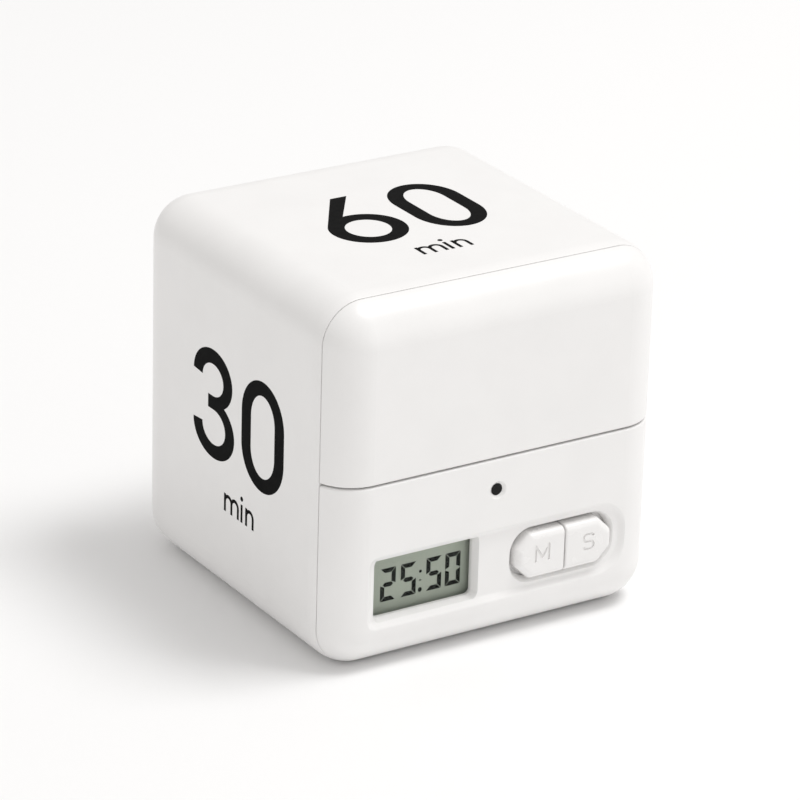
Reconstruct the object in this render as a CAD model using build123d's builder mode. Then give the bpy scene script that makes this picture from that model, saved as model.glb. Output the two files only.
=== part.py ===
"""Cube-shaped kitchen timer: 62 mm rounded cube, display and two keys low on the front.

Millimetres. Origin at the centre of the bottom face, +X to the right seen from the front,
-Y out of the front face, +Z up. The body is a deep five-sided shell, closed in front by a
battery door above and a front panel below. A tray behind them carries the two cells.
"""
import os
from math import atan2, cos, degrees, hypot, pi, radians, sqrt, tan

from build123d import *

os.makedirs("parts", exist_ok=True)

# ---- case -------------------------------------------------------------------------------
SIDE = 62.0                 # edge length of the cube
EDGE_R = 7.2                # rounding of every outer edge
WALL = 2.0                  # thickness of shell, door and panel
SEAM_DEPTH = 5.1            # front face to the seam that runs round the cube
SEAM_GAP = 0.12             # hairline left at that seam
DOOR_Z = 32.1               # height of the seam between front panel and door
DOOR_GAP = 0.32             # width of that seam
DOOR_EDGE_R = 0.35          # softened edges along that seam
RIM_R = 0.12                # softened edges along the hairline seam

FRONT_Y = -SIDE / 2
BACK_Y = SIDE / 2
SEAM_Y = FRONT_Y + SEAM_DEPTH
INNER_FRONT_Y = FRONT_Y + WALL
INNER_BACK_Y = BACK_Y - WALL
INNER_X = SIDE / 2 - WALL
FIT = 0.05                  # two fixed pieces laid against each other
SLIDE_FIT = 0.15            # a sliding piece to its guide

# ---- features of the front panel -----------------------------------------------------------
TRAY_X0, TRAY_X1 = -24.4, 24.6      # shallow tray that holds display and keys
TRAY_Z0, TRAY_Z1 = 7.2, 20.0
TRAY_DEPTH = 0.7
TRAY_SLOPE = 1.25           # how far its soft walls run inwards
TRAY_R_LEFT = 1.9
TRAY_R_RIGHT = 5.6
SOFT_STEPS = 6              # sections that shape a softly curved wall
PAD_BACK = 2.5              # front face to the back of the thickened tray wall
PAD_MARGIN = 0.4

RIM_DEPTH = 1.9             # front face to the sharp rims of window and key opening
WINDOW_W, WINDOW_H = 18.3, 10.4
WINDOW_X, WINDOW_Z = -13.1, 13.75
WINDOW_R = 1.0
WINDOW_BEVEL = 0.65
KEYHOLE_W, KEYHOLE_H = 18.6, 8.4
KEYHOLE_X, KEYHOLE_Z = 12.5, 13.6
KEYHOLE_R = 3.5
KEYHOLE_FUNNEL = 0.85       # how far the dish round the keys widens

SOUND_X, SOUND_Z = -0.6, DOOR_Z - 5.5
SOUND_D = 2.0
SOUND_SINK_D = 3.1
SOUND_SINK_ANGLE = 98

# ---- keys ----------------------------------------------------------------------------------
KEY_GAP = 0.25              # key to opening and key to key
KEY_PROUD = 0.5             # keys stand out of the front face
KEY_CHAMFER = 2.5           # cut outer corners
KEY_CORNER_R = 1.1
KEY_FRONT_R = 1.1
KEY_DIVIDE_R = 0.3
KEY_FLANGE = 0.8            # lip that keeps a key behind the panel
KEY_FLANGE_T = 0.75
KEY_TRAVEL = 0.3
LETTER_H = 3.0
LETTER_STROKE = 0.4
LETTER_DEPTH = 0.25
M_HALF_W = 1.26
M_WAIST = 0.8               # how far the middle of the M reaches below its centre
S_TIP = 20                  # angle at which the ends of the S stop
M_LETTER_X, S_LETTER_X = 8.1, 17.0
LETTER_Z = 14.0

# ---- printed circuit board and what it carries ---------------------------------------------
PCB_HALF_W = 22.45
PCB_Z0, PCB_Z1 = 4.25, DOOR_Z - 1.5
PCB_T = 1.6
TACT_SIDE = 6.0
TACT_BASE_H = 3.2
TACT_COVER_T = 0.3
TACT_PLUNGER_D = 3.5
TACT_PLUNGER_OUT = 0.8
TACT_PLUNGER_IN = 1.0
PAD_Y = FRONT_Y + PAD_BACK
KEY_BACK_Y = PAD_Y + FIT + KEY_FLANGE_T
PCB_FRONT_Y = KEY_BACK_Y + TACT_PLUNGER_OUT + TACT_COVER_T + TACT_BASE_H
PCB_BACK_Y = PCB_FRONT_Y + PCB_T
PCB_BOSS_R = 2.1
HIGH_SCREW_Z = DOOR_Z - 4.5
PCB_SCREW_PLACES = ((-20.5, HIGH_SCREW_Z), (20.5, HIGH_SCREW_Z), (1.3, 6.2), (20.3, 6.2))

LCD_W = 21.9
LCD_Z0, LCD_Z1 = 5.4, 20.6
LCD_LEDGE = 2.3             # strip of the front glass that carries the contacts
FILM_T = 0.15
GLASS_T = 0.7
HOLDER_WALL = 1.0
HOLDER_CHAMFER = 0.7
ZEBRA_H = 1.9

SOUNDER_D = 9.0
SOUNDER_EDGE_R = 0.2
GASKET_T = 0.6
GASKET_BORE = 4.0

CHIP_X, CHIP_Z = -12.0, 15.0
CHIP_D, CHIP_H, CHIP_R = 9.0, 1.5, 1.28
CRYSTAL_X, CRYSTAL_Z = -2.0, 12.0
CRYSTAL_D, CRYSTAL_L, CRYSTAL_R = 2.0, 6.0, 0.25
SMD_W, SMD_H, SMD_T = 2.0, 1.25, 0.6
SMD_PLACES = ((-18.0, 23.5), (-14.0, 23.5), (-10.0, 23.5), (-4.0, 21.5), (0.0, 21.5),
              (-19.0, 13.0))

TILT_X, TILT_Z = 10.0, 14.0
TILT_SIDE = 11.0
TILT_DEPTH = 4.6
TILT_FLOOR = 0.8
TILT_LID_T = 0.6
TILT_CELL = 6.0             # square chamber standing on its corner
TILT_PLATE_T = 0.2
TILT_PLATE_L = 3.6
TILT_BALL_D = 3.0
TILT_BALL_PLAY = 0.04

# ---- battery tray ---------------------------------------------------------------------------
CELL_D, CELL_L = 10.5, 44.5
CELL_NUB_D, CELL_NUB_L = 3.8, 0.9
CELL_EDGE_R = 0.5
CELL_PITCH = 11.6
BAY_Z = 46.2                # middle of the battery bay
CELL_LOW_Z = BAY_Z - CELL_PITCH / 2
CELL_Y = -19.0
CELL_PLAY = 0.3
TRAY_FRONT_Y = SEAM_Y + 0.4
TRAY_PLATE_T = 1.5
TRAY_HALF_W = 28.2
TRAY_PLATE_Z0, TRAY_PLATE_Z1 = 2.5, 59.6
TRAY_PLATE_R = 4.6
BAY_HALF_W = 24.6
BAY_WALL = 1.2
BAY_REAR_T = 1.5
OPEN_PLAY = 0.35            # hole in the tray plate round the electronics
OPEN_HALF_W = PCB_HALF_W + OPEN_PLAY
OPEN_Z0 = PCB_Z0 - OPEN_PLAY
OPEN_Z1 = SOUND_Z + SOUNDER_D / 2 + OPEN_PLAY
CONTACT_T = 0.4
CONTACT_W = 8.0
TAB_W = 2.4
TAB_OUT = 3.0
SPRING_WIRE = 0.5
SPRING_R = 2.3
SPRING_TURNS = 3.5

RAIL_X = 25.4               # inner face of the door rails
RAIL_T = 0.8
RAIL_LIP = 0.7
RAIL_RISE = 2.1
RAIL_LIP_T = 0.8
RAIL_Z0, RAIL_Z1 = 35.0, 56.0
RUNNER_T = 0.6
TONGUE_T = 0.8              # lip of the panel that closes the seam behind the door
TONGUE_RISE = 1.2
TONGUE_ROOT = 0.7
TONGUE_HALF_W = 22.0

# ---- fasteners --------------------------------------------------------------------------------
SCREW_R = 1.0
SCREW_HEAD_R = 1.9
SCREW_HEAD_H = 1.3
SCREW_L = 5.0
SCREW_CROSS = 0.6           # width and depth of the cross recess
SCREW_CROSS_L = 2.3
BOSS_R = 2.2
PANEL_SCREW_PLACES = ((-25.0, HIGH_SCREW_Z), (25.0, HIGH_SCREW_Z), (25.0, 6.4))
POST_R = 2.8
POST_X = 12.0
POST_Z = BAY_Z
HOOK_X, HOOK_W = 14.0, 6.0
HOOK_Z0, HOOK_Z1 = 2.9, 3.8
HOOK_TIP_Z = 2.2
RIB_W = 1.3
RIB_RISE = 0.7

# ---- power switch on the back --------------------------------------------------------------
SWITCH_Z = 14.0
SWITCH_TRAVEL = 4.0
RECESS_W, RECESS_H, RECESS_DEPTH = 14.0, 6.6, 0.8
RECESS_R = 1.65
RECESS_TAPER = 26.5
KNOB_W, KNOB_H = 4.2, 3.0
SHUTTER_T = 0.8             # flange of the knob that keeps the slot covered
SHUTTER_LAP = 0.4
KNOB_BELOW = 0.3            # knob top below the back face
KNOB_RIB = 0.3
SLOT_PLAY = 0.2
CAN_W, CAN_H, CAN_D, CAN_T = 13.0, 5.4, 4.4, 0.4
SLIDER_W, SLIDER_H, SLIDER_T = 5.0, 3.6, 1.4
STEM_W, STEM_H = 2.2, 1.8
SWITCH_BOARD_W, SWITCH_BOARD_H, SWITCH_BOARD_T = 27.4, 9.0, 1.2
SWITCH_SCREW_X = 11.3

# ---- wiring ---------------------------------------------------------------------------------
LEAD_D = 1.1
ARC_SHARE = 0.45            # of the shorter run, taken by the arc at each corner of a lead


def at_y(y):
    """A sketch plane at depth y that looks out of the front: local x is +X, local y is +Z."""
    return Plane.XZ.offset(-y)


def cube_form(inset):
    """The rounded cube, shrunk by inset on every side."""
    with BuildPart() as form:
        with BuildSketch(Plane.XY.offset(inset)):
            Rectangle(SIDE - 2 * inset, SIDE - 2 * inset)
        extrude(amount=SIDE - 2 * inset)
        fillet(form.edges(), radius=EDGE_R - inset)
    return form.part


def rim_edges(part, y):
    """The outer edges of a shell piece at depth y, where it meets the seam round the cube."""
    skin = cube_form(WALL / 4)
    edges = part.edges().filter_by_position(Axis.Y, y - FIT, y + FIT)
    return [edge for edge in edges if not skin.is_inside(edge @ 0.5)]


def soft_cut(outline, y0, y1, run, ease):
    """A cut from y0 to y1 whose wall runs inwards by run, with depth following ease(0..1)."""
    shares = [step / SOFT_STEPS for step in range(SOFT_STEPS + 1)]
    with BuildPart() as cut:
        loft(sections=[outline(run * share, y0 + (y1 - y0) * ease(share)) for share in shares])
    return cut.part


def block(x0, x1, y0, y1, z0, z1):
    """A plain block between two corners, for ribs, lips and cuts."""
    with BuildPart() as solid:
        with BuildSketch(at_y(y0)):
            with Locations(((x0 + x1) / 2, (z0 + z1) / 2)):
                Rectangle(x1 - x0, z1 - z0)
        extrude(amount=y0 - y1)
    return solid.part


def rod(places, radius, y0, y1):
    """Round rods along Y at (x, z) places."""
    with BuildPart() as rods:
        with BuildSketch(at_y(y0)):
            with Locations(*places):
                Circle(radius)
        extrude(amount=y0 - y1)
    return rods.part


def screws(places, seat_y, toward_back):
    """Identical cross-head screws: head on seat_y, shank the other way along Y."""
    way = 1 if toward_back else -1
    with BuildPart() as group:
        add(rod(places, SCREW_HEAD_R, seat_y, seat_y - way * SCREW_HEAD_H))
        add(rod(places, SCREW_R, seat_y, seat_y + way * SCREW_L))
        with BuildSketch(at_y(seat_y - way * SCREW_HEAD_H)):
            with Locations(*places):
                Rectangle(SCREW_CROSS_L, SCREW_CROSS)
                Rectangle(SCREW_CROSS, SCREW_CROSS_L)
        extrude(amount=-way * SCREW_CROSS, mode=Mode.SUBTRACT)
    return group.part


def lead(points):
    """An insulated wire along straight runs joined by arcs as large as the runs allow."""
    route = [Vector(*point) for point in points]
    radii = []
    for before, corner, after in zip(route, route[1:], route[2:]):
        turn = (corner - before).get_angle(after - corner)
        shorter = min((corner - before).length, (after - corner).length)
        radii.append(ARC_SHARE * shorter / tan(radians(turn) / 2))
    print("lead radii", [round(radius, 1) for radius in radii])
    with BuildPart() as wire:
        with BuildLine() as path:
            FilletPolyline(*points, radius=radii)
        with BuildSketch(Plane(origin=path.line @ 0, z_dir=path.line % 0)):
            Circle(LEAD_D / 2)
        sweep()
    return wire.part


def save(part, name):
    """Label one finished piece and write its STEP file."""
    part.label = name
    export_step(part, f"parts/{name}.step")


# ---- body shell -----------------------------------------------------------------------------
tray_back_y = TRAY_FRONT_Y + TRAY_PLATE_T
bay_rear_y = CELL_Y + CELL_D / 2 + CELL_PLAY
post_front_y = bay_rear_y + BAY_REAR_T
post_places = ((-POST_X, POST_Z), (POST_X, POST_Z))
shutter_y = INNER_BACK_Y - SLIDE_FIT - SHUTTER_T
can_back_y = shutter_y - SLIDE_FIT
switch_boss_y = can_back_y - CAN_D
switch_screw_places = ((-SWITCH_SCREW_X, SWITCH_Z), (SWITCH_SCREW_X, SWITCH_Z))
slot_w = KNOB_W + SWITCH_TRAVEL + 2 * SLOT_PLAY
slot_h = KNOB_H + 2 * SLOT_PLAY
rib_y = tray_back_y + SLIDE_FIT

with BuildPart() as body_shell:
    add(cube_form(0))
    add(cube_form(WALL), mode=Mode.SUBTRACT)
    split(bisect_by=at_y(SEAM_Y), keep=Keep.BOTTOM)
    fillet(rim_edges(body_shell, SEAM_Y), radius=RIM_R)
    add(rod(post_places, POST_R, post_front_y, INNER_BACK_Y + FIT))
    add(rod(switch_screw_places, BOSS_R, switch_boss_y, INNER_BACK_Y + FIT))
    add(rod(post_places, SCREW_R, post_front_y, post_front_y + SCREW_L), mode=Mode.SUBTRACT)
    add(rod(switch_screw_places, SCREW_R, switch_boss_y, switch_boss_y + SCREW_L - SWITCH_BOARD_T),
        mode=Mode.SUBTRACT)
    for side in (-1, 1):
        rib_x0 = side * HOOK_X - HOOK_W / 2
        add(block(rib_x0, rib_x0 + HOOK_W, rib_y, rib_y + RIB_W, WALL - FIT, WALL + RIB_RISE))
    with BuildSketch(Plane.XZ.offset(-BACK_Y)):
        with Locations((0, SWITCH_Z)):
            RectangleRounded(RECESS_W, RECESS_H, RECESS_R)
    extrude(amount=RECESS_DEPTH, taper=RECESS_TAPER, mode=Mode.SUBTRACT)
    with BuildSketch(Plane.XZ.offset(-BACK_Y)):
        with Locations((0, SWITCH_Z)):
            RectangleRounded(slot_w, slot_h, SLOT_PLAY)
    extrude(amount=WALL + FIT, mode=Mode.SUBTRACT)
save(body_shell.part, "body_shell")

# ---- battery door ---------------------------------------------------------------------------
rail_out_x = RAIL_X + RAIL_T
rail_top_y = TRAY_FRONT_Y - RAIL_RISE
runner_y = rail_top_y + RAIL_LIP_T + SLIDE_FIT
front_parts_y = SEAM_Y - SEAM_GAP

with BuildPart() as runners:
    for side in (-1, 1):
        reach = sorted((side * (rail_out_x + SLIDE_FIT), side * INNER_X))
        add(block(*reach, runner_y, runner_y + RUNNER_T, RAIL_Z0, RAIL_Z1))
    add(cube_form(WALL / 2), mode=Mode.INTERSECT)

with BuildPart() as battery_door:
    add(cube_form(0))
    add(cube_form(WALL), mode=Mode.SUBTRACT)
    split(bisect_by=at_y(front_parts_y), keep=Keep.TOP)
    fillet(rim_edges(battery_door, front_parts_y), radius=RIM_R)
    split(bisect_by=Plane.XY.offset(DOOR_Z + DOOR_GAP / 2), keep=Keep.TOP)
    door_foot = battery_door.faces().filter_by(Axis.Z).sort_by(Axis.Z)[0]
    foot_line = door_foot.edges().filter_by(GeomType.LINE).sort_by(Axis.Y)[0]
    foot_arcs = door_foot.edges().filter_by(GeomType.CIRCLE).sort_by(Axis.Y)[0:2]
    fillet([foot_line] + list(foot_arcs), radius=DOOR_EDGE_R)
    add(runners.part)
save(battery_door.part, "battery_door")


# ---- front panel ----------------------------------------------------------------------------
tray_floor_y = FRONT_Y + TRAY_DEPTH
rim_y = FRONT_Y + RIM_DEPTH
pad_z0 = TRAY_Z0 - PAD_MARGIN
pad_z1 = LCD_Z1 + HOLDER_WALL + PAD_MARGIN
pad_x0 = WINDOW_X - LCD_W / 2 - HOLDER_WALL - FIT


def tray_outline(inset, y):
    """The tray's outline at depth y: small corners left, large ones round the keys."""
    with BuildSketch(at_y(y)) as outline:
        with Locations(((TRAY_X0 + TRAY_X1) / 2, (TRAY_Z0 + TRAY_Z1) / 2)):
            Rectangle(TRAY_X1 - TRAY_X0 - 2 * inset, TRAY_Z1 - TRAY_Z0 - 2 * inset)
        fillet(outline.vertices().sort_by(Axis.X)[:2], radius=TRAY_R_LEFT - inset)
        fillet(outline.vertices().sort_by(Axis.X)[-2:], radius=TRAY_R_RIGHT - inset)
    return outline.sketch


def keyhole_outline(inset, y):
    """Outline of the dish round the keys, shrinking from its wide mouth to the opening."""
    grow = 2 * (KEYHOLE_FUNNEL - inset)
    with BuildSketch(at_y(y)) as outline:
        with Locations((KEYHOLE_X, KEYHOLE_Z)):
            RectangleRounded(KEYHOLE_W + grow, KEYHOLE_H + grow, KEYHOLE_R + grow / 2)
    return outline.sketch


def window_outline(grow, y):
    """Outline of the display window, widened by grow on every side."""
    with BuildSketch(at_y(y)) as outline:
        with Locations((WINDOW_X, WINDOW_Z)):
            RectangleRounded(WINDOW_W + 2 * grow, WINDOW_H + 2 * grow, WINDOW_R + grow)
    return outline.sketch


with BuildPart() as bosses:
    add(rod(PCB_SCREW_PLACES, PCB_BOSS_R, INNER_FRONT_Y - FIT, PCB_FRONT_Y))
    add(rod(PANEL_SCREW_PLACES, BOSS_R, INNER_FRONT_Y - FIT, TRAY_FRONT_Y))
    add(cube_form(WALL / 2), mode=Mode.INTERSECT)
    add(rod(PCB_SCREW_PLACES, SCREW_R, PCB_BACK_Y - SCREW_L, PCB_FRONT_Y), mode=Mode.SUBTRACT)

with BuildPart() as front_panel:
    add(cube_form(0))
    add(cube_form(WALL), mode=Mode.SUBTRACT)
    split(bisect_by=at_y(front_parts_y), keep=Keep.TOP)
    fillet(rim_edges(front_panel, front_parts_y), radius=RIM_R)
    split(bisect_by=Plane.XY.offset(DOOR_Z - DOOR_GAP / 2), keep=Keep.BOTTOM)
    panel_head = front_panel.faces().filter_by(Axis.Z).sort_by(Axis.Z)[-1]
    head_line = panel_head.edges().filter_by(GeomType.LINE).sort_by(Axis.Y)[0]
    head_arcs = panel_head.edges().filter_by(GeomType.CIRCLE).sort_by(Axis.Y)[0:2]
    fillet([head_line] + list(head_arcs), radius=DOOR_EDGE_R)
    # thicker wall behind the tray
    add(block(pad_x0, TRAY_X1, INNER_FRONT_Y - FIT, PAD_Y, pad_z0, pad_z1))
    # tray with softly sloped walls, and a dish that funnels down to the keys
    add(soft_cut(tray_outline, FRONT_Y, tray_floor_y, TRAY_SLOPE,
                 lambda share: (1 - cos(pi * share)) / 2), mode=Mode.SUBTRACT)
    add(soft_cut(keyhole_outline, tray_floor_y - FIT, rim_y, KEYHOLE_FUNNEL,
                 lambda share: 1 - cos(pi / 2 * share)), mode=Mode.SUBTRACT)
    extrude(keyhole_outline(KEYHOLE_FUNNEL, tray_floor_y), amount=-PAD_BACK, mode=Mode.SUBTRACT)
    # display window: bevel down to a sharp rim, then straight through
    loft(sections=[window_outline(WINDOW_BEVEL, tray_floor_y - FIT), window_outline(0, rim_y)],
         mode=Mode.SUBTRACT)
    extrude(window_outline(0, tray_floor_y), amount=-PAD_BACK, mode=Mode.SUBTRACT)
    # sound hole
    with Locations(Location((SOUND_X, FRONT_Y, SOUND_Z), (90, 0, 0))):
        CounterSinkHole(radius=SOUND_D / 2, counter_sink_radius=SOUND_SINK_D / 2,
                        depth=WALL + FIT, counter_sink_angle=SOUND_SINK_ANGLE)
    add(bosses.part)
    # tongue that closes the seam behind the door's lower edge
    tongue_z0 = DOOR_Z - DOOR_GAP / 2 - TONGUE_ROOT
    add(block(-TONGUE_HALF_W, TONGUE_HALF_W, INNER_FRONT_Y + FIT, INNER_FRONT_Y + FIT + TONGUE_T,
              tongue_z0, DOOR_Z + TONGUE_RISE))
    add(block(-TONGUE_HALF_W, TONGUE_HALF_W, INNER_FRONT_Y - FIT, INNER_FRONT_Y + 2 * FIT,
              tongue_z0, DOOR_Z - DOOR_GAP / 2 - DOOR_EDGE_R))
    add(rod(PANEL_SCREW_PLACES, SCREW_R, tray_back_y - SCREW_L, TRAY_FRONT_Y),
        mode=Mode.SUBTRACT)
save(front_panel.part, "front_panel")

# ---- keys -----------------------------------------------------------------------------------
key_front_y = FRONT_Y - KEY_PROUD
keys_x0 = KEYHOLE_X - KEYHOLE_W / 2 + KEY_GAP
keys_x1 = KEYHOLE_X + KEYHOLE_W / 2 - KEY_GAP
key_half_h = KEYHOLE_H / 2 - KEY_GAP
plunger_tip_y = KEY_BACK_Y


def m_letter(y):
    """A plain M, LETTER_H high, at depth y."""
    half_h = (LETTER_H - LETTER_STROKE) / 2
    slant = degrees(atan2(half_h + M_WAIST, M_HALF_W))
    with BuildSketch(at_y(y)) as letter:
        for side in (-1, 1):
            with Locations((M_LETTER_X + side * M_HALF_W, LETTER_Z)):
                SlotCenterToCenter(2 * half_h, LETTER_STROKE, rotation=90)
            with Locations((M_LETTER_X + side * M_HALF_W / 2, LETTER_Z + (half_h - M_WAIST) / 2)):
                SlotCenterToCenter(hypot(half_h + M_WAIST, M_HALF_W), LETTER_STROKE,
                                   rotation=side * slant)
    return letter.sketch


def s_letter(y):
    """A plain S, LETTER_H high, at depth y: its middle line, drawn with a broad pen."""
    bow = (LETTER_H - LETTER_STROKE) / 4
    left, right = S_LETTER_X - bow / 2, S_LETTER_X + bow / 2
    with BuildSketch(at_y(y)) as letter:
        with BuildLine():
            tip = CenterArc((right, LETTER_Z + bow), bow, S_TIP, 90 - S_TIP)
            upper = CenterArc((left, LETTER_Z + bow), bow, 90, 180)
            lower = CenterArc((right, LETTER_Z - bow), bow, 90, -180)
            tail = CenterArc((left, LETTER_Z - bow), bow, 270, S_TIP - 90)
            Line(tip @ 1, upper @ 0)
            Line(upper @ 1, lower @ 0)
            Line(lower @ 1, tail @ 0)
        trace(line_width=LETTER_STROKE)
    return letter.sketch


def key(side, letter):
    """One key: side is -1 for the left key and 1 for the right one."""
    divide_x = KEYHOLE_X + side * KEY_GAP / 2
    outer_x = keys_x0 if side < 0 else keys_x1
    mid_x = (divide_x + outer_x) / 2
    width = abs(outer_x - divide_x)
    flange_x = outer_x + side * (KEY_FLANGE + KEY_GAP)
    flange_half_h = key_half_h + KEY_GAP + KEY_FLANGE
    with BuildPart() as cap:
        with BuildSketch(at_y(PAD_Y)):
            with Locations((mid_x, KEYHOLE_Z)):
                Rectangle(width, 2 * key_half_h)
        extrude(amount=PAD_Y - key_front_y)
        outer_edges = cap.edges().filter_by(Axis.Y).sort_by(Axis.X, reverse=side > 0)[:2]
        chamfer(outer_edges, length=KEY_CHAMFER)
        cut_corners = cap.edges().filter_by(Axis.Y).sort_by(Axis.X, reverse=side > 0)[:4]
        fillet(cut_corners, radius=KEY_CORNER_R)
        front = cap.faces().filter_by(Axis.Y).sort_by(Axis.Y)[0]
        front_edges = front.edges().sort_by(Axis.X, reverse=side > 0)
        fillet(front_edges[:-1], radius=KEY_FRONT_R)
        divide_edge = cap.faces().filter_by(Axis.X).sort_by(Axis.X, reverse=side > 0)[-1]
        fillet(divide_edge.edges().sort_by(Axis.Y)[0], radius=KEY_DIVIDE_R)
        flange = sorted((divide_x, flange_x))
        add(block(*flange, PAD_Y + FIT, KEY_BACK_Y, KEYHOLE_Z - flange_half_h,
                  KEYHOLE_Z + flange_half_h))
        neck = sorted((divide_x, outer_x - side * KEY_CHAMFER))
        add(block(*neck, PAD_Y - FIT, PAD_Y + 2 * FIT, KEYHOLE_Z - key_half_h / 2,
                  KEYHOLE_Z + key_half_h / 2))
        extrude(letter(key_front_y), amount=-LETTER_DEPTH, mode=Mode.SUBTRACT)
    return cap.part, mid_x


m_key, m_key_x = key(-1, m_letter)
s_key, s_key_x = key(1, s_letter)
save(m_key, "m_key")
save(s_key, "s_key")

# ---- printed circuit board ------------------------------------------------------------------
with BuildPart() as pcb:
    add(block(-PCB_HALF_W, PCB_HALF_W, PCB_FRONT_Y, PCB_BACK_Y, PCB_Z0, PCB_Z1))
    fillet(pcb.edges().filter_by(Axis.Y), radius=SCREW_R)
    add(rod(PCB_SCREW_PLACES, SCREW_R + SLIDE_FIT, PCB_FRONT_Y, PCB_BACK_Y), mode=Mode.SUBTRACT)
save(pcb.part, "pcb")
save(screws(PCB_SCREW_PLACES, PCB_BACK_Y, False), "pcb_screws")

# ---- key switches on the board ----------------------------------------------------------------
tact_base_y = PCB_FRONT_Y - TACT_BASE_H
tact_cover_y = tact_base_y - TACT_COVER_T
tact_half = TACT_SIDE / 2
plunger_bore_r = TACT_PLUNGER_D / 2 + FIT
for name, x in (("m", m_key_x), ("s", s_key_x)):
    place = ((x, KEYHOLE_Z),)
    plunger_end_y = tact_cover_y + TACT_COVER_T + TACT_PLUNGER_IN
    with BuildPart() as tact_base:
        add(block(x - tact_half, x + tact_half, tact_base_y, PCB_FRONT_Y,
                  KEYHOLE_Z - tact_half, KEYHOLE_Z + tact_half))
        fillet(tact_base.edges().filter_by(Axis.Y), radius=TACT_COVER_T)
        add(rod(place, plunger_bore_r, tact_base_y, plunger_end_y + KEY_TRAVEL + SLIDE_FIT),
            mode=Mode.SUBTRACT)
    with BuildPart() as tact_cover:
        add(block(x - tact_half + FIT, x + tact_half - FIT, tact_cover_y, tact_base_y,
                  KEYHOLE_Z - tact_half + FIT, KEYHOLE_Z + tact_half - FIT))
        add(rod(place, plunger_bore_r, tact_cover_y, tact_base_y), mode=Mode.SUBTRACT)
    save(tact_base.part, f"{name}_switch_base")
    save(tact_cover.part, f"{name}_switch_cover")
    save(rod(place, TACT_PLUNGER_D / 2, plunger_tip_y, plunger_end_y), f"{name}_switch_plunger")

# ---- display ----------------------------------------------------------------------------------
lcd_x0 = WINDOW_X - LCD_W / 2
lcd_x1 = WINDOW_X + LCD_W / 2
film_y = PAD_Y + FIT
front_glass_y = film_y + FILM_T
rear_glass_y = front_glass_y + GLASS_T
reflector_y = rear_glass_y + GLASS_T
lcd_back_y = reflector_y + FILM_T
stack_z0 = LCD_Z0 + LCD_LEDGE
save(block(lcd_x0, lcd_x1, film_y, front_glass_y, stack_z0, LCD_Z1), "display_polariser")
save(block(lcd_x0, lcd_x1, front_glass_y, rear_glass_y, LCD_Z0, LCD_Z1), "display_front_glass")
save(block(lcd_x0, lcd_x1, rear_glass_y, reflector_y, stack_z0, LCD_Z1), "display_rear_glass")
save(block(lcd_x0, lcd_x1, reflector_y, lcd_back_y, stack_z0, LCD_Z1), "display_reflector")

zebra_z0 = LCD_Z0 + (LCD_LEDGE - ZEBRA_H) / 2
save(block(lcd_x0 + FIT, lcd_x1 - FIT, rear_glass_y, PCB_FRONT_Y, zebra_z0, zebra_z0 + ZEBRA_H),
     "zebra_connector")

with BuildPart() as display_holder:
    add(block(lcd_x0 - HOLDER_WALL, lcd_x1 + HOLDER_WALL, film_y, PCB_FRONT_Y - FIT,
              LCD_Z0 - HOLDER_WALL, LCD_Z1 + HOLDER_WALL))
    holder_foot = display_holder.edges().filter_by(Axis.X).group_by(Axis.Y)[0].sort_by(Axis.Z)[0]
    chamfer(holder_foot, length=HOLDER_CHAMFER)
    add(block(lcd_x0 - FIT, lcd_x1 + FIT, film_y, lcd_back_y + FIT, LCD_Z0 - FIT, LCD_Z1 + FIT),
        mode=Mode.SUBTRACT)
    add(block(lcd_x0 - FIT, lcd_x1 + FIT, lcd_back_y, PCB_FRONT_Y, LCD_Z0 - FIT,
              zebra_z0 + ZEBRA_H + FIT), mode=Mode.SUBTRACT)
    add(block(lcd_x0 + HOLDER_WALL, lcd_x1 - HOLDER_WALL, lcd_back_y, PCB_FRONT_Y,
              stack_z0 + 2 * HOLDER_WALL, LCD_Z1 - HOLDER_WALL), mode=Mode.SUBTRACT)
save(display_holder.part, "display_holder")

# ---- sounder ------------------------------------------------------------------------------------
sound_place = ((SOUND_X, SOUND_Z),)
gasket_y = INNER_FRONT_Y + GASKET_T
with BuildPart() as sounder_gasket:
    add(rod(sound_place, SOUNDER_D / 2, INNER_FRONT_Y, gasket_y))
    add(rod(sound_place, GASKET_BORE / 2, INNER_FRONT_Y, gasket_y), mode=Mode.SUBTRACT)
save(sounder_gasket.part, "sounder_gasket")
with BuildPart() as sounder:
    add(rod(sound_place, SOUNDER_D / 2, gasket_y, PCB_FRONT_Y))
    fillet(sounder.edges().sort_by(Axis.Y)[0], radius=SOUNDER_EDGE_R)
    add(rod(sound_place, SOUND_D / 2, gasket_y, gasket_y + WALL), mode=Mode.SUBTRACT)
save(sounder.part, "sounder")

# ---- small parts on the back of the board -------------------------------------------------------
with BuildPart() as chip_blob:
    add(rod(((CHIP_X, CHIP_Z),), CHIP_D / 2, PCB_BACK_Y, PCB_BACK_Y + CHIP_H))
    fillet(chip_blob.edges().sort_by(Axis.Y)[-1], radius=CHIP_R)
save(chip_blob.part, "chip_blob")

with BuildPart() as crystal:
    with BuildSketch(Plane.XY.offset(CRYSTAL_Z)):
        with Locations((CRYSTAL_X, PCB_BACK_Y + CRYSTAL_D / 2)):
            Circle(CRYSTAL_D / 2)
    extrude(amount=CRYSTAL_L)
    fillet(crystal.edges(), radius=CRYSTAL_R)
save(crystal.part, "crystal")

with BuildPart() as board_components:
    with BuildSketch(at_y(PCB_BACK_Y)):
        with Locations(*SMD_PLACES):
            Rectangle(SMD_W, SMD_H)
    extrude(amount=-SMD_T)
save(board_components.part, "board_components")

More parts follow.
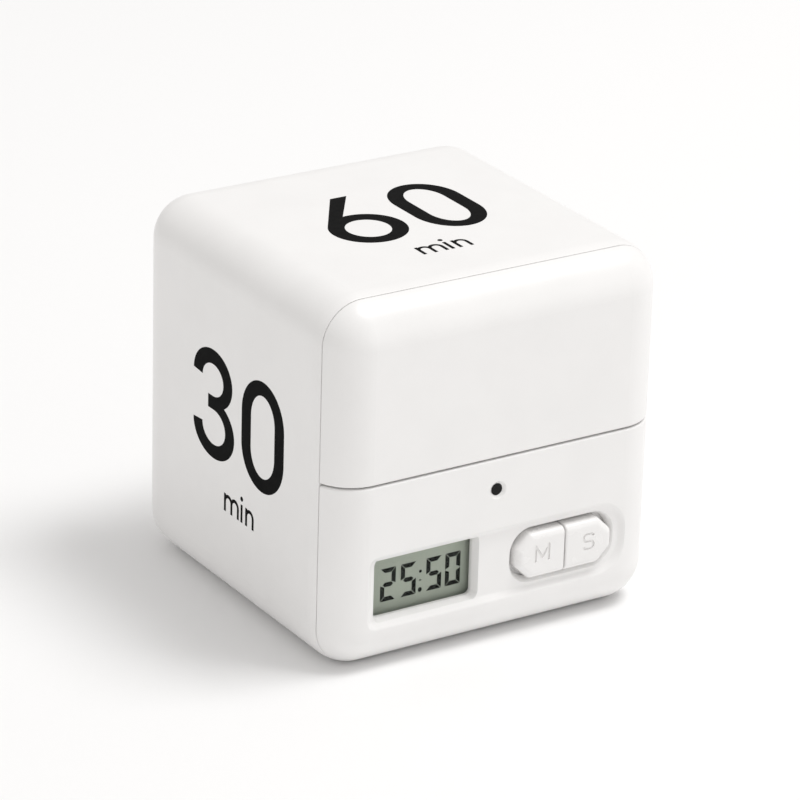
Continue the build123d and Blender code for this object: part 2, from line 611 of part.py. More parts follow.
# ---- tilt sensor: a ball in a chamber that stands on its corner ----------------------------------
tilt_front_y = PCB_BACK_Y
tilt_back_y = tilt_front_y + TILT_DEPTH
chamber_y0 = tilt_front_y + TILT_FLOOR
plate_reach = TILT_CELL / 2
with BuildPart() as tilt_case:
    add(block(TILT_X - TILT_SIDE / 2, TILT_X + TILT_SIDE / 2, tilt_front_y, tilt_back_y,
              TILT_Z - TILT_SIDE / 2, TILT_Z + TILT_SIDE / 2))
    fillet(tilt_case.edges().filter_by(Axis.Y), radius=TILT_FLOOR)
    with BuildSketch(at_y(chamber_y0)):
        with Locations((TILT_X, TILT_Z)):
            Rectangle(TILT_CELL + 2 * TILT_PLATE_T, TILT_CELL + 2 * TILT_PLATE_T, rotation=45)
    extrude(amount=-TILT_DEPTH, mode=Mode.SUBTRACT)
save(tilt_case.part, "tilt_sensor_case")

with BuildPart() as tilt_contacts:
    with BuildSketch(at_y(chamber_y0)):
        with Locations((TILT_X, TILT_Z)):
            with PolarLocations(plate_reach + TILT_PLATE_T / 2, 4, start_angle=45):
                Rectangle(TILT_PLATE_T, TILT_PLATE_L)
    extrude(amount=-(TILT_DEPTH - TILT_FLOOR))
save(tilt_contacts.part, "tilt_sensor_contacts")

save(block(TILT_X - TILT_SIDE / 2, TILT_X + TILT_SIDE / 2, tilt_back_y, tilt_back_y + TILT_LID_T,
           TILT_Z - TILT_SIDE / 2, TILT_Z + TILT_SIDE / 2), "tilt_sensor_lid")

ball_drop = (plate_reach - TILT_BALL_D / 2 - TILT_BALL_PLAY) * sqrt(2)
ball_y = (chamber_y0 + tilt_back_y) / 2
with BuildPart() as tilt_ball:
    with Locations((TILT_X, ball_y, TILT_Z - ball_drop)):
        Sphere(TILT_BALL_D / 2)
save(tilt_ball.part, "tilt_sensor_ball")
print("tilt ball travel", round(2 * ball_drop, 2))

# ---- battery tray -------------------------------------------------------------------------------
cell_high_z = CELL_LOW_Z + CELL_PITCH
bay_z0 = CELL_LOW_Z - CELL_D / 2 - CELL_PLAY
bay_z1 = cell_high_z + CELL_D / 2 + CELL_PLAY
bay_out_x = BAY_HALF_W + BAY_WALL
hook_back_y = rib_y + RIB_W + SLIDE_FIT + RIB_W
plate_mid_z = (TRAY_PLATE_Z0 + TRAY_PLATE_Z1) / 2
holder_play = HOLDER_WALL + OPEN_PLAY
tab_places = ((BAY_HALF_W - CONTACT_T / 2, CELL_LOW_Z), (BAY_HALF_W - CONTACT_T / 2, cell_high_z))

with BuildPart() as battery_tray:
    with BuildSketch(at_y(TRAY_FRONT_Y)):
        with Locations((0, plate_mid_z)):
            RectangleRounded(2 * TRAY_HALF_W, TRAY_PLATE_Z1 - TRAY_PLATE_Z0, TRAY_PLATE_R)
    extrude(amount=-TRAY_PLATE_T)
    add(block(-bay_out_x, bay_out_x, TRAY_FRONT_Y, post_front_y, bay_z0 - BAY_WALL,
              bay_z1 + BAY_WALL))
    add(block(-BAY_HALF_W, BAY_HALF_W, TRAY_FRONT_Y, bay_rear_y, bay_z0, bay_z1),
        mode=Mode.SUBTRACT)
    add(block(-OPEN_HALF_W, OPEN_HALF_W, TRAY_FRONT_Y, tray_back_y, OPEN_Z0, OPEN_Z1),
        mode=Mode.SUBTRACT)
    add(block(lcd_x0 - holder_play, lcd_x1, TRAY_FRONT_Y, tray_back_y, LCD_Z0 - HOLDER_WALL - FIT,
              LCD_Z1 + holder_play), mode=Mode.SUBTRACT)
    for side in (-1, 1):
        web = sorted((side * RAIL_X, side * rail_out_x))
        lip = sorted((side * RAIL_X, side * (rail_out_x + RAIL_LIP)))
        add(block(*web, rail_top_y, TRAY_FRONT_Y, RAIL_Z0, RAIL_Z1))
        add(block(*lip, rail_top_y, rail_top_y + RAIL_LIP_T, RAIL_Z0, RAIL_Z1))
        hook = (side * HOOK_X - HOOK_W / 2, side * HOOK_X + HOOK_W / 2)
        add(block(*hook, tray_back_y, hook_back_y, HOOK_Z0, HOOK_Z1))
        add(block(*hook, hook_back_y - RIB_W, hook_back_y, HOOK_TIP_Z, HOOK_Z0))
    add(rod(post_places, SCREW_R + SLIDE_FIT, bay_rear_y, post_front_y), mode=Mode.SUBTRACT)
    add(rod(PANEL_SCREW_PLACES, SCREW_R + SLIDE_FIT, TRAY_FRONT_Y, tray_back_y),
        mode=Mode.SUBTRACT)
    with BuildSketch(at_y(bay_rear_y)):
        with Locations(*tab_places):
            Rectangle(CONTACT_T, TAB_W)
    extrude(amount=-BAY_REAR_T, mode=Mode.SUBTRACT)
save(battery_tray.part, "battery_tray")

save(screws(PANEL_SCREW_PLACES, tray_back_y, False), "panel_screws")
save(screws(post_places, bay_rear_y, True), "tray_screws")

# ---- cells and contacts ---------------------------------------------------------------------------
contact_x = BAY_HALF_W - CONTACT_T
for name, side, z in (("upper", 1, cell_high_z), ("lower", -1, CELL_LOW_Z)):
    nub_x = side * (contact_x - FIT)
    shoulder_x = nub_x - side * CELL_NUB_L
    flat_x = nub_x - side * CELL_L
    with BuildPart() as cell:
        with BuildSketch(Plane.YZ.offset(flat_x)):
            with Locations((CELL_Y, z)):
                Circle(CELL_D / 2)
        extrude(amount=shoulder_x - flat_x)
        fillet(cell.edges().filter_by(GeomType.CIRCLE), radius=CELL_EDGE_R)
        with BuildSketch(Plane.YZ.offset(shoulder_x)):
            with Locations((CELL_Y, z)):
                Circle(CELL_NUB_D / 2)
        extrude(amount=nub_x - shoulder_x)
    save(cell.part, f"cell_{name}")

contact_y0 = CELL_Y - CONTACT_W / 2


def contact_plate(side, z0, z1):
    """A sprung steel plate on one end wall of the bay."""
    plate_x = sorted((side * contact_x, side * BAY_HALF_W))
    return block(*plate_x, contact_y0, bay_rear_y, z0, z1)


save(contact_plate(-1, CELL_LOW_Z - CONTACT_W / 2, cell_high_z + CONTACT_W / 2), "link_contact")
for name, z in (("positive_contact", cell_high_z), ("negative_contact", CELL_LOW_Z)):
    with BuildPart() as contact:
        add(contact_plate(1, z - CONTACT_W / 2, z + CONTACT_W / 2))
        add(block(contact_x, BAY_HALF_W, bay_rear_y, post_front_y + TAB_OUT, z - TAB_W / 2,
                  z + TAB_W / 2))
    save(contact.part, name)

spring_room = 2 * contact_x - FIT - CELL_L
spring_rise = spring_room - SPRING_WIRE - 4 * FIT
with BuildPart() as spring:
    with BuildLine() as coil:
        Helix(pitch=spring_rise / SPRING_TURNS, height=spring_rise, radius=SPRING_R)
    with BuildSketch(Plane(origin=coil.line @ 0, z_dir=coil.line % 0)):
        Circle(SPRING_WIRE / 2)
    sweep(path=coil.line, is_frenet=True)
with BuildPart() as contact_springs:
    for side, z in ((-1, cell_high_z), (1, CELL_LOW_Z)):
        base_x = side * (contact_x - 2 * FIT - SPRING_WIRE / 2)
        with Locations(Plane(origin=(base_x, CELL_Y, z), z_dir=(-side, 0, 0)).location):
            add(spring.part)
save(contact_springs.part, "contact_springs")

# ---- power switch -----------------------------------------------------------------------------------
knob_x = -SWITCH_TRAVEL / 2
board_y = switch_boss_y - SWITCH_BOARD_T
slider_y = can_back_y - CAN_T - FIT - SLIDER_T
knob_tip_y = BACK_Y - KNOB_BELOW
stem_tip_y = knob_tip_y - WALL / 2
shutter_w = slot_w + SWITCH_TRAVEL + 2 * SHUTTER_LAP
shutter_h = slot_h + 2 * SHUTTER_LAP


def switch_block(x, width, height, y0, y1):
    """A block centred on the switch at x."""
    return block(x - width / 2, x + width / 2, y0, y1, SWITCH_Z - height / 2,
                 SWITCH_Z + height / 2)


with BuildPart() as switch_board:
    add(switch_block(0, SWITCH_BOARD_W, SWITCH_BOARD_H, board_y, switch_boss_y))
    fillet(switch_board.edges().filter_by(Axis.Y), radius=SCREW_R)
    add(rod(switch_screw_places, SCREW_R + SLIDE_FIT, board_y, switch_boss_y),
        mode=Mode.SUBTRACT)
save(switch_board.part, "switch_board")
save(screws(switch_screw_places, board_y, True), "switch_screws")

with BuildPart() as switch_can:
    add(switch_block(0, CAN_W, CAN_H, switch_boss_y, can_back_y))
    fillet(switch_can.edges().filter_by(Axis.Y), radius=CAN_T)
    add(switch_block(0, CAN_W - 2 * CAN_T, CAN_H - 2 * CAN_T, switch_boss_y, can_back_y - CAN_T),
        mode=Mode.SUBTRACT)
    add(switch_block(0, STEM_W + SWITCH_TRAVEL + 2 * SLIDE_FIT, STEM_H + 2 * SLIDE_FIT,
                     can_back_y - CAN_T, can_back_y), mode=Mode.SUBTRACT)
save(switch_can.part, "switch_can")

with BuildPart() as power_slider:
    add(switch_block(knob_x, SLIDER_W, SLIDER_H, slider_y, slider_y + SLIDER_T))
    add(switch_block(knob_x, STEM_W, STEM_H, slider_y + SLIDER_T, stem_tip_y))
save(power_slider.part, "power_slider")

with BuildPart() as power_knob:
    add(switch_block(knob_x, KNOB_W, KNOB_H, shutter_y, knob_tip_y))
    fillet(power_knob.edges().filter_by(Axis.Y), radius=KNOB_RIB)
    for step in (-1, 0, 1):
        add(switch_block(knob_x + step * KNOB_W / 4, KNOB_RIB, KNOB_H, knob_tip_y - KNOB_RIB,
                         knob_tip_y), mode=Mode.SUBTRACT)
    add(switch_block(knob_x, shutter_w, shutter_h, shutter_y, shutter_y + SHUTTER_T))
    add(switch_block(knob_x, STEM_W + 2 * FIT, STEM_H + 2 * FIT, shutter_y, stem_tip_y + FIT),
        mode=Mode.SUBTRACT)
save(power_knob.part, "power_knob")

# ---- wiring ---------------------------------------------------------------------------------------
lead_y = post_front_y + TAB_OUT - TAB_W / 2
save(lead([(contact_x, lead_y, cell_high_z), (20.8, lead_y, cell_high_z), (18.6, -7.4, 48.5),
           (18.2, -6.2, 41.5), (17.8, -8.0, 34.0), (16.4, -13.0, 28.2),
           (15.8, -17.4, 27.0), (15.8, PCB_BACK_Y, 27.0)]), "battery_lead_red")
save(lead([(contact_x, lead_y, CELL_LOW_Z), (21.4, lead_y, CELL_LOW_Z), (19.8, -9.6, 37.2),
           (18.6, -10.6, 32.8), (14.4, -14.2, 29.0), (12.4, -17.8, 28.2),
           (12.4, PCB_BACK_Y, 28.2)]), "battery_lead_black")
with BuildPart() as switch_leads:
    for offset in (-2.2, 0, 2.2):
        add(lead([(offset, board_y, 11.2), (offset, 17.0, 11.2), (offset - 3.5, 7.0, 8.4),
                  (offset - 9.8, -3.0, 7.0), (offset - 15.6, -11.4, 7.0),
                  (offset - 17.4, -16.8, 7.4), (offset - 17.4, PCB_BACK_Y, 7.4)]))
save(switch_leads.part, "switch_leads")
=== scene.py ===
# %% [markdown]
# # A cube kitchen timer
# The timer is a rounded cube of white ABS, 62 mm along each side. It stands on one of its faces,
# and the time printed on the face that looks up is the time it counts down. This lesson takes
# the engineered parts as they are, gives each one the finish of its real material, and adds what
# a parts model leaves out: the printed numerals, the segments of the display, and the small
# marks on the parts inside. We start by loading the parts.

# %% Load the parts
from math import atan, cos, degrees, pi, radians, sin

import bpy
from mathutils import Matrix, Vector


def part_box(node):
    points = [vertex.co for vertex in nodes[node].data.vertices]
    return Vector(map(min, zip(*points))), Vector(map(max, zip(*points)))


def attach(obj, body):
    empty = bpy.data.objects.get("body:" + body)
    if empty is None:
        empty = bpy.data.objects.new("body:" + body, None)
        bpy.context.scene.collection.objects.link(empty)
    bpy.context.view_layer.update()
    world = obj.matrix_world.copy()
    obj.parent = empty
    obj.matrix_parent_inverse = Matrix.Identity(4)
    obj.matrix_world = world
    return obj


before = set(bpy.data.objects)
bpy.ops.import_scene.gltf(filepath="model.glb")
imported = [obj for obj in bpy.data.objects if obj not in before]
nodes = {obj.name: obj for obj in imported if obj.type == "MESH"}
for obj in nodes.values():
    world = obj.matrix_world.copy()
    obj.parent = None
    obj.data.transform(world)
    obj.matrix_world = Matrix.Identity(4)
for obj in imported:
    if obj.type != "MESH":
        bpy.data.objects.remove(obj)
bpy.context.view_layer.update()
MM = 0.001
print(len(nodes), "parts loaded")

# %% [markdown]
# Every size in this lesson is in millimetres, because that is how such an object is drawn, and
# Blender works in metres, so one small function turns a point in millimetres into a place.
# Places on the object come from the boxes of the parts themselves.

# %% Sizes and places
def place(x, y, z):
    """A point given in millimetres."""
    return Vector((x, y, z)) * MM


shell_low, shell_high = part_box("body_shell")
front_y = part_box("front_panel")[0].y
top_z = shell_high.z
print("cube", [round(side / MM, 1) for side in shell_high - shell_low], "front at", front_y)

# %% [markdown]
# ## The camera
# A product picture like this is taken with a long lens from less than a metre away, so the
# cube's edges stay close to parallel. The camera looks at the middle of the cube from the left
# of its front and from above, and leans by less than two degrees.

# %% Camera
CAMERA_PLACE = place(-356.5, -551.8, 310.1)
CAMERA_TARGET = place(0.27, -0.49, 30.39)
CAMERA_LEAN = radians(1.7)
LENS = 197.9

forward = (CAMERA_TARGET - CAMERA_PLACE).normalized()
right = forward.cross(Vector((0, 0, 1))).normalized()
right = Matrix.Rotation(-CAMERA_LEAN, 3, forward) @ right
up = right.cross(forward)
camera_data = bpy.data.cameras.new("camera")
camera_data.lens = LENS
camera_data.sensor_width = 36
camera = bpy.data.objects.new("camera", camera_data)
camera.matrix_world = Matrix.Translation(CAMERA_PLACE) @ Matrix(
    (right, up, -forward)).transposed().to_4x4()
bpy.context.scene.collection.objects.link(camera)
bpy.context.scene.camera = camera
print("camera", round((CAMERA_TARGET - CAMERA_PLACE).length, 3), "m away")

# %% [markdown]
# ## Light
# The studio is a bright white room: the world gives soft light from everywhere, and large
# softboxes shape the cube. One hangs high up, to the right and a little in front, draws the bright
# line along the rounded top edge and throws the shadow; a second, low one lights the front. The
# left face gets only the light of the room, so it reads as the shaded side.

# %% World and softboxes
ROOM_LIGHT = 0.68
ROOM_COLOUR = (1, 0.985, 0.972, 1)      # slightly warm
CUBE_MIDDLE = (0, 0, 31)


def softbox(name, where, size, power):
    """A rectangular area light at a place in millimetres, aimed at the middle of the cube."""
    data = bpy.data.lights.new(name, "AREA")
    data.shape = "RECTANGLE"
    data.size, data.size_y = size[0] * MM, size[1] * MM
    data.energy = power
    light = bpy.data.objects.new(name, data)
    light.location = place(*where)
    toward_cube = place(*CUBE_MIDDLE) - light.location
    light.rotation_euler = toward_cube.to_track_quat("-Z", "Y").to_euler()
    bpy.context.scene.collection.objects.link(light)


world = bpy.data.worlds.new("white_room")
world.use_nodes = True
background = world.node_tree.nodes["Background"]
background.inputs["Color"].default_value = ROOM_COLOUR
background.inputs["Strength"].default_value = ROOM_LIGHT
bpy.context.scene.world = world
bpy.context.scene.view_settings.view_transform = "Standard"
softbox("high_box", (500, -300, 1400), (560, 560), 10.7)
softbox("front_box", (380, -820, 130), (700, 700), 0.62)
print("lights ready")

# %% [markdown]
# ## Colour and nodes
# Colours are written as the hex values that a screen shows, and one function turns them into the
# linear values that Blender mixes light with. One more function adds a shader node, sets its
# values and links its inputs, so that a material reads as a list of what it is made of.

# %% Colour and node helpers
def linear(hex_colour):
    """An sRGB hex colour as linear RGBA."""
    parts = [int(hex_colour[i:i + 2], 16) / 255 for i in (1, 3, 5)]
    return (*[c / 12.92 if c <= 0.04045 else ((c + 0.055) / 1.055) ** 2.4 for c in parts], 1)


def add_node(tree, kind, settings=None, **inputs):
    """One shader node; settings are its own values, inputs are numbers or sockets to link."""
    node = tree.nodes.new(kind)
    for key, value in (settings or {}).items():
        setattr(node, key, value)
    for key, value in inputs.items():
        socket = node.inputs[int(key[1:]) if key[1:].isdigit() else key.replace("_", " ")]
        if isinstance(value, bpy.types.NodeSocket):
            tree.links.new(value, socket)
        else:
            socket.default_value = value
    return node


def per_mm(size_mm):
    """The texture scale that gives features of this size, for coordinates in metres."""
    return 1 / (size_mm * MM)


def new_finish(name, **shader):
    """A material with its principled shader's own values set, and object coordinates."""
    finish = bpy.data.materials.new(name)
    finish.use_nodes = True
    tree = finish.node_tree
    tree.nodes.clear()
    body = add_node(tree, "ShaderNodeBsdfPrincipled", **shader)
    output = add_node(tree, "ShaderNodeOutputMaterial")
    tree.links.new(body.outputs["BSDF"], output.inputs["Surface"])
    coordinates = add_node(tree, "ShaderNodeTexCoord").outputs["Object"]
    return finish, tree, body, coordinates


def grain(tree, body, coordinates, size_mm, height_mm):
    """Fine surface grain as a bump, with its size and height in millimetres."""
    noise = add_node(tree, "ShaderNodeTexNoise", Vector=coordinates, Scale=per_mm(size_mm),
                     Detail=2.0)
    bump = add_node(tree, "ShaderNodeBump", Height=noise.outputs["Fac"], Strength=1.0,
                    Distance=height_mm * MM)
    tree.links.new(bump.outputs["Normal"], body.inputs["Normal"])


def vary_roughness(tree, body, coordinates, size_mm, low, high):
    """Patches of slightly duller and glossier surface, as handling and moulding leave them."""
    noise = add_node(tree, "ShaderNodeTexNoise", Vector=coordinates, Scale=per_mm(size_mm),
                     Detail=3.0)
    spread = add_node(tree, "ShaderNodeMapRange", Value=noise.outputs["Fac"], To_Min=low,
                      To_Max=high)
    tree.links.new(spread.outputs["Result"], body.inputs["Roughness"])


def mottle(tree, body, coordinates, size_mm, dark, light):
    """A base colour that drifts between two close tones."""
    noise = add_node(tree, "ShaderNodeTexNoise", Vector=coordinates, Scale=per_mm(size_mm),
                     Detail=2.0)
    ramp = add_node(tree, "ShaderNodeValToRGB", Fac=noise.outputs["Fac"])
    ramp.color_ramp.elements[0].position = 0.35
    ramp.color_ramp.elements[0].color = linear(dark)
    ramp.color_ramp.elements[1].position = 0.65
    ramp.color_ramp.elements[1].color = linear(light)
    tree.links.new(ramp.outputs["Color"], body.inputs["Base Color"])


def dress(finish, *names):
    """Give parts a finish in place of the plain one they came with."""
    for name in names:
        nodes[name].data.materials.clear()
        nodes[name].data.materials.append(finish)
    print(finish.name, "on", ", ".join(names))


# %% [markdown]
# ## The white case
# Shell, door, panel and keys are ABS, injection-moulded in a polished tool with a very fine
# spark-eroded grain. That gives the eye a clean white with soft, slightly spread highlights: an
# index of refraction of 1.54, a roughness near 0.3, and grain of about a tenth of a millimetre
# that only shows where light grazes. The keys come from another tool and are a touch glossier.

# %% White ABS
def white_abs(name, dark, light, rough, grain_mm, height_mm):
    """Moulded white ABS between two close whites."""
    finish, tree, body, at = new_finish(name, IOR=1.54, Specular_IOR_Level=0.5)
    mottle(tree, body, at, 9.0, dark, light)
    vary_roughness(tree, body, at, 5.0, rough - 0.03, rough + 0.03)
    grain(tree, body, at, grain_mm, height_mm)
    return finish


case_abs = white_abs("white_abs_case", "#EFEEED", "#F1F0EF", 0.31, 0.11, 0.0012)
key_abs = white_abs("white_abs_key", "#EFEEED", "#F1F0EF", 0.27, 0.14, 0.0008)
inner_abs = white_abs("white_abs_unpolished", "#DEDCD8", "#E2E0DD", 0.52, 0.3, 0.004)
dress(case_abs, "body_shell", "battery_door", "front_panel")
dress(key_abs, "m_key", "s_key")
dress(inner_abs, "battery_tray")

# %% [markdown]
# ## Black plastics, rubber and foam inside
# The display frame is matt black ABS, the key switches are moulded nylon, the strip that joins
# glass to board is silicone rubber with fine carbon layers, and the ring before the sounder is
# soft foam. They differ mostly in gloss and grain. The rubber strip's layers are 0.05 mm apart in
# reality; they are drawn 0.4 mm apart, as coarse as they need to be to show.

# %% Black plastics, rubber and foam
WAVE_PERIOD = pi / 10       # a wave texture of scale 1 repeats over this length


def moulded(name, colour, rough, grain_mm, height_mm, ior=1.5):
    """A moulded plastic or rubber with one colour, uneven gloss and a grain."""
    finish, tree, body, at = new_finish(name, Base_Color=linear(colour), IOR=ior)
    vary_roughness(tree, body, at, 3.0, rough - 0.06, rough + 0.06)
    grain(tree, body, at, grain_mm, height_mm)
    return finish


dress(moulded("black_abs_frame", "#1E1F20", 0.55, 0.25, 0.004), "display_holder")
nylon = moulded("black_nylon_switch", "#232426", 0.45, 0.2, 0.002, ior=1.53)
dress(nylon, "m_switch_base", "s_switch_base", "m_switch_plunger", "s_switch_plunger",
      "sounder")
dress(moulded("grey_abs_knob", "#6E7072", 0.42, 0.25, 0.003), "power_knob", "power_slider")
dress(moulded("black_foam_ring", "#2A2A2A", 0.95, 0.35, 0.05), "sounder_gasket")
dress(moulded("cast_epoxy_blob", "#101112", 0.18, 1.2, 0.006, ior=1.56), "chip_blob")
dress(moulded("brown_phenolic_case", "#5B3A26", 0.5, 0.3, 0.004), "tilt_sensor_case",
      "tilt_sensor_lid")
dress(moulded("fired_ceramic", "#A98C6B", 0.6, 0.3, 0.006), "board_components")

zebra, tree, body, at = new_finish("layered_silicone_strip", Roughness=0.7)
layers = add_node(tree, "ShaderNodeTexWave", {"bands_direction": "X"}, Vector=at,
                  Scale=per_mm(0.4) * WAVE_PERIOD)
ramp = add_node(tree, "ShaderNodeValToRGB", Fac=layers.outputs["Fac"])
ramp.color_ramp.elements[0].color = linear("#1B1B1C")
ramp.color_ramp.elements[1].color = linear("#C9C2B8")
tree.links.new(ramp.outputs["Color"], body.inputs["Base Color"])
dress(zebra, "zebra_connector")

# %% [markdown]
# ## Circuit board
# The boards are glass-filled epoxy under a green solder mask. The copper tracks beneath lift the
# mask a little and make it paler, so a brick pattern stands for them, with its rows a millimetre
# apart. The mask itself is glossy, with a faint orange-peel bump.

# %% Boards
board, tree, body, at = new_finish("green_solder_mask", Roughness=0.28, IOR=1.55)
turned = add_node(tree, "ShaderNodeMapping", Vector=at, Rotation=(pi / 2, 0, 0))
tracks = add_node(tree, "ShaderNodeTexBrick", {"offset": 0.37}, Vector=turned.outputs["Vector"],
                  Scale=per_mm(4.0), Color1=linear("#1E6B3C"), Color2=linear("#1B6238"),
                  Mortar=linear("#2F8A4E"), Mortar_Size=0.05)
tree.links.new(tracks.outputs["Color"], body.inputs["Base Color"])
grain(tree, body, at, 0.5, 0.004)
dress(board, "pcb", "switch_board")

# %% [markdown]
# ## Metals
# Contacts, switch covers and screws are thin steel under nickel, tin or zinc. A metal's colour is
# the colour of its reflection, so the base colour is pale and metallic is 1. Rolled sheet and
# turned heads carry fine drawn lines, made here by a noise stretched along one direction.

# %% Metals
def plated(name, colour, rough, stretch=(1, 1, 12)):
    """Plated metal whose gloss runs in fine lines."""
    finish, tree, body, at = new_finish(name, Base_Color=linear(colour), Metallic=1.0)
    lines = add_node(tree, "ShaderNodeMapping", Vector=at, Scale=stretch)
    noise = add_node(tree, "ShaderNodeTexNoise", Vector=lines.outputs["Vector"],
                     Scale=per_mm(2.0), Detail=2.0)
    spread = add_node(tree, "ShaderNodeMapRange", Value=noise.outputs["Fac"],
                      To_Min=rough - 0.08, To_Max=rough + 0.08)
    tree.links.new(spread.outputs["Result"], body.inputs["Roughness"])
    bump = add_node(tree, "ShaderNodeBump", Height=noise.outputs["Fac"], Distance=0.002 * MM)
    tree.links.new(bump.outputs["Normal"], body.inputs["Normal"])
    return finish


dress(plated("nickel_plated_spring_steel", "#C9C5BC", 0.28), "link_contact",
      "positive_contact", "negative_contact", "contact_springs")
dress(plated("tin_plated_steel", "#C4C5C2", 0.36), "m_switch_cover", "s_switch_cover",
      "switch_can", "crystal")
dress(plated("zinc_plated_steel", "#B7BABC", 0.32, stretch=(6, 6, 6)), "pcb_screws",
      "panel_screws", "tray_screws", "switch_screws")
dress(plated("gold_flashed_brass", "#D8B468", 0.24), "tilt_sensor_contacts",
      "tilt_sensor_ball")

# %% [markdown]
# ## Leads
# The leads are tinned strands in soft PVC. PVC has a waxy, even gloss and picks up small dents.

# %% Leads
def pvc(name, colour):
    """Soft PVC insulation."""
    return moulded(name, colour, 0.38, 1.5, 0.01, ior=1.53)


dress(pvc("red_pvc", "#A3201C"), "battery_lead_red")
dress(pvc("black_pvc", "#1A1A1B"), "battery_lead_black")
dress(pvc("grey_pvc", "#8C8E90"), "switch_leads")

# %% [markdown]
# ## Cells
# Each cell is a steel can in a printed shrink film. The film is dark blue with a broad copper
# band at the positive end and a thin white line between, and the can's bare metal shows at both
# ends. The upper cell points the other way from the lower one, so the bands are measured from
# each cell's positive end, along X.

# %% Cells
CELL_LENGTH = 44.5
NUB_LENGTH = 0.9
BARE_RIM = 0.7
BAND_SHARE = 0.27
LINE_SHARE = 0.012


def cell_film(name, node, toward):
    """Banded shrink film over steel, from the positive end, which is at the +X or -X side."""
    low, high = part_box(node)
    start = high.x if toward > 0 else low.x
    finish, tree, body, at = new_finish(name, IOR=1.5)
    along = add_node(tree, "ShaderNodeSeparateXYZ", Vector=at).outputs["X"]
    share = add_node(tree, "ShaderNodeMapRange", Value=along, From_Min=start,
                     From_Max=start - toward * CELL_LENGTH * MM)
    bare = (NUB_LENGTH + BARE_RIM) / CELL_LENGTH
    stops = ((0.0, "#B9BBBC"), (bare, "#B97B45"), (BAND_SHARE, "#E8E6E0"),
             (BAND_SHARE + LINE_SHARE, "#22304F"), (1 - BARE_RIM / CELL_LENGTH, "#B9BBBC"))
    colours = add_node(tree, "ShaderNodeValToRGB", Fac=share.outputs["Result"])
    metal = add_node(tree, "ShaderNodeValToRGB", Fac=share.outputs["Result"])
    for ramp in (colours.color_ramp, metal.color_ramp):
        ramp.interpolation = "CONSTANT"
        for position, _ in stops[1:-1]:
            ramp.elements.new(position)
        ramp.elements[-1].position = stops[-1][0]
    for index, (_, colour) in enumerate(stops):
        colours.color_ramp.elements[index].color = linear(colour)
        shine = 1.0 if index in (0, len(stops) - 1) else 0.35
        metal.color_ramp.elements[index].color = (shine, shine, shine, 1)
    tree.links.new(colours.outputs["Color"], body.inputs["Base Color"])
    tree.links.new(metal.outputs["Color"], body.inputs["Metallic"])
    vary_roughness(tree, body, at, 4.0, 0.24, 0.34)
    grain(tree, body, at, 2.5, 0.01)
    dress(finish, node)


cell_film("shrink_film_upper", "cell_upper", 1)
cell_film("shrink_film_lower", "cell_lower", -1)

# %% [markdown]
# ## Display glass
# A passive display is a sandwich: a matt polarising film in front, two thin sheets of glass with
# the liquid crystal between them, and a grey-green reflector behind. What the eye sees is mostly
# the rear sheet, which is milky and carries the colour of the reflector. The film and the front
# glass are nearly clear, so they get a low alpha: the light passes, and a little stays as haze.

# %% Display layers
def clear_sheet(name, colour, alpha, rough, ior):
    """A sheet that light passes through, with a faint tint."""
    finish, tree, body, at = new_finish(name, Base_Color=linear(colour), Alpha=alpha, IOR=ior)
    vary_roughness(tree, body, at, 2.0, rough, rough + 0.05)
    grain(tree, body, at, 0.12, 0.0006)
    return finish


dress(clear_sheet("anti_glare_film", "#7F877C", 0.035, 0.32, 1.49), "display_polariser")
dress(clear_sheet("front_display_glass", "#C8D0CA", 0.02, 0.05, 1.52), "display_front_glass")
dress(clear_sheet("milky_display_glass", "#B4BDAE", 0.9, 0.5, 1.52), "display_rear_glass")
reflector, tree, body, at = new_finish("grey_green_reflector_foil", IOR=1.5, Metallic=0.15)
mottle(tree, body, at, 0.5, "#959F92", "#9CA598")
vary_roughness(tree, body, at, 1.0, 0.45, 0.6)
grain(tree, body, at, 0.2, 0.003)
dress(reflector, "display_reflector")

# %% [markdown]
# ## Flat pieces
# Numerals and display segments are thin flat shapes: printed ink, and liquid crystal between the
# sheets of glass. Each is drawn as one or more closed outlines. Blender fills a flat curve
# between its outlines, leaves the holes open and gives it a thickness, and the result is turned
# into a mesh. An outline is a list of points (right, up) in millimetres on its own face.

# %% From outlines to flat pieces
INK_T = 0.02


def face_frame(origin, right, up):
    """A frame for drawing on a face: where its zero is, and which ways are right and up."""
    right, up = Vector(right), Vector(up)
    turn = Matrix((right, up, right.cross(up))).transposed().to_4x4()
    return Matrix.Translation(place(*origin)) @ turn @ Matrix.Scale(MM, 4)


def flat_piece(name, outlines, frame_matrix, finish, thickness=INK_T):
    """A thin plate between closed outlines, laid on a face and riding on the case."""
    curve = bpy.data.curves.new(name, "CURVE")
    curve.dimensions = "2D"
    curve.fill_mode = "BOTH"
    curve.extrude = thickness / 2
    for outline in outlines:
        spline = curve.splines.new("POLY")
        spline.points.add(len(outline) - 1)
        for point, (x, y) in zip(spline.points, outline):
            point.co = (x, y, 0, 1)
        spline.use_cyclic_u = True
    drawn = bpy.data.objects.new(name + "_drawn", curve)
    mesh = bpy.data.meshes.new_from_object(drawn)
    mesh.name = name
    mesh.transform(frame_matrix)
    bpy.data.objects.remove(drawn)
    mesh.materials.clear()
    mesh.materials.append(finish)
    piece = bpy.data.objects.new(name, mesh)
    bpy.context.scene.collection.objects.link(piece)
    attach(piece, "case")


def moved(outlines, across, upward):
    """Outlines shifted on their face."""
    return [[(across + x, upward + y) for x, y in line] for line in outlines]


# %% [markdown]
# ## Numerals
# The figures are a plain rounded grotesque. Their bowls are parts of ellipses, so one helper
# walks along an ellipse, and a nought is an ellipse pulled apart by a straight piece.

# %% Curved strokes
ARC_STEP = radians(5)


